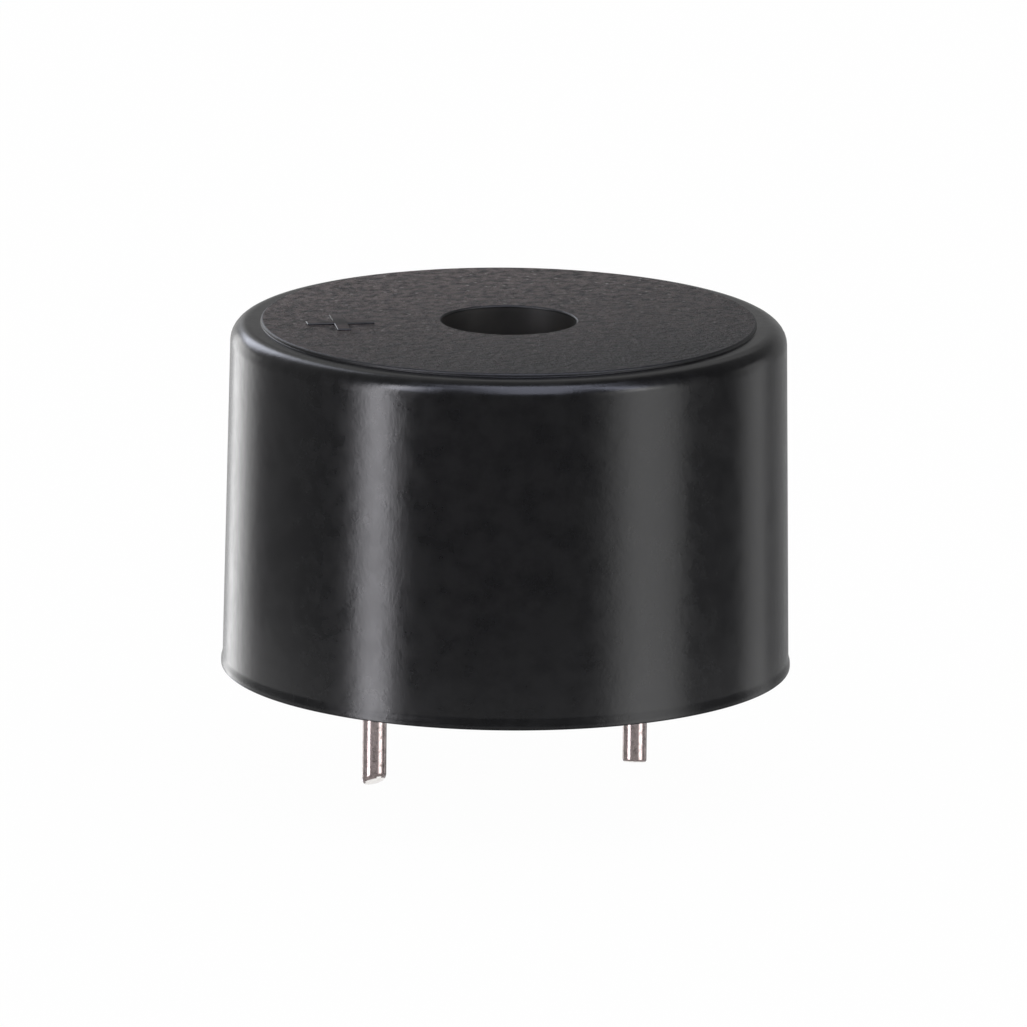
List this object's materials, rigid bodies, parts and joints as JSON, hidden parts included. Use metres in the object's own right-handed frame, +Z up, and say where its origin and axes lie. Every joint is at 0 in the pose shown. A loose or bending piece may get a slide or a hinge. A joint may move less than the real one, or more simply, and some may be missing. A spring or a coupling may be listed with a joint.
{
  "type": "piezo buzzer",
  "caption": "Self-driven round piezo buzzer in a moulded case with a sound port on top and two lead pins below for a circuit board.",
  "frame": {"origin": "centre of the case's open rim, in its seating plane, midway between the two lead pins", "axes": "+Z up the case axis towards the sound port; X through both lead pins, with the longer positive pin at -X; the pins point to -Z"},
  "size_m": [0.0164, 0.0164, 0.0138],
  "materials": {
    "case_plastic": "moulded, satin side wall and spark-eroded raised disc",
    "plate_brass": "rolled, dull",
    "ceramic": "sintered, matt",
    "silver_print": "fired silver, matt",
    "silicone": "translucent white bead",
    "board": "glass-epoxy laminate",
    "copper": "etched copper foil",
    "transistor_epoxy": "moulded epoxy",
    "chip_ceramic": "alumina with dark glaze on top",
    "tin": "bright tin plate",
    "solder": "reflowed solder",
    "red_insulation": "thin PVC",
    "blue_insulation": "thin PVC",
    "black_insulation": "thin PVC",
    "compound": "poured epoxy, semi-gloss"
  },
  "bodies": {
    "root": {"case": "case_plastic", "diaphragm_plate": "plate_brass", "piezo_ceramic": "ceramic", "main_electrode": "silver_print", "feedback_electrode": "silver_print", "diaphragm_bead": "silicone", "driver_board": "board", "copper_tracks": "copper", "transistor_body": "transistor_epoxy", "transistor_base_lead": "tin", "transistor_emitter_lead": "tin", "transistor_collector_lead": "tin", "chip_solder": "solder", "main_lead": "red_insulation", "feedback_lead": "blue_insulation", "plate_lead": "black_insulation", "main_lead_solder": "solder", "feedback_lead_solder": "solder", "plate_lead_solder": "solder", "positive_pin": "tin", "negative_pin": "tin", "positive_pin_solder": "solder", "negative_pin_solder": "solder", "casting_compound": "compound", "bias_resistor": "chip_ceramic", "bias_resistor_cap_1": "tin", "bias_resistor_cap_2": "tin", "feedback_resistor": "chip_ceramic", "feedback_resistor_cap_1": "tin", "feedback_resistor_cap_2": "tin", "collector_resistor": "chip_ceramic", "collector_resistor_cap_1": "tin", "collector_resistor_cap_2": "tin"}
  },
  "joints": []
}
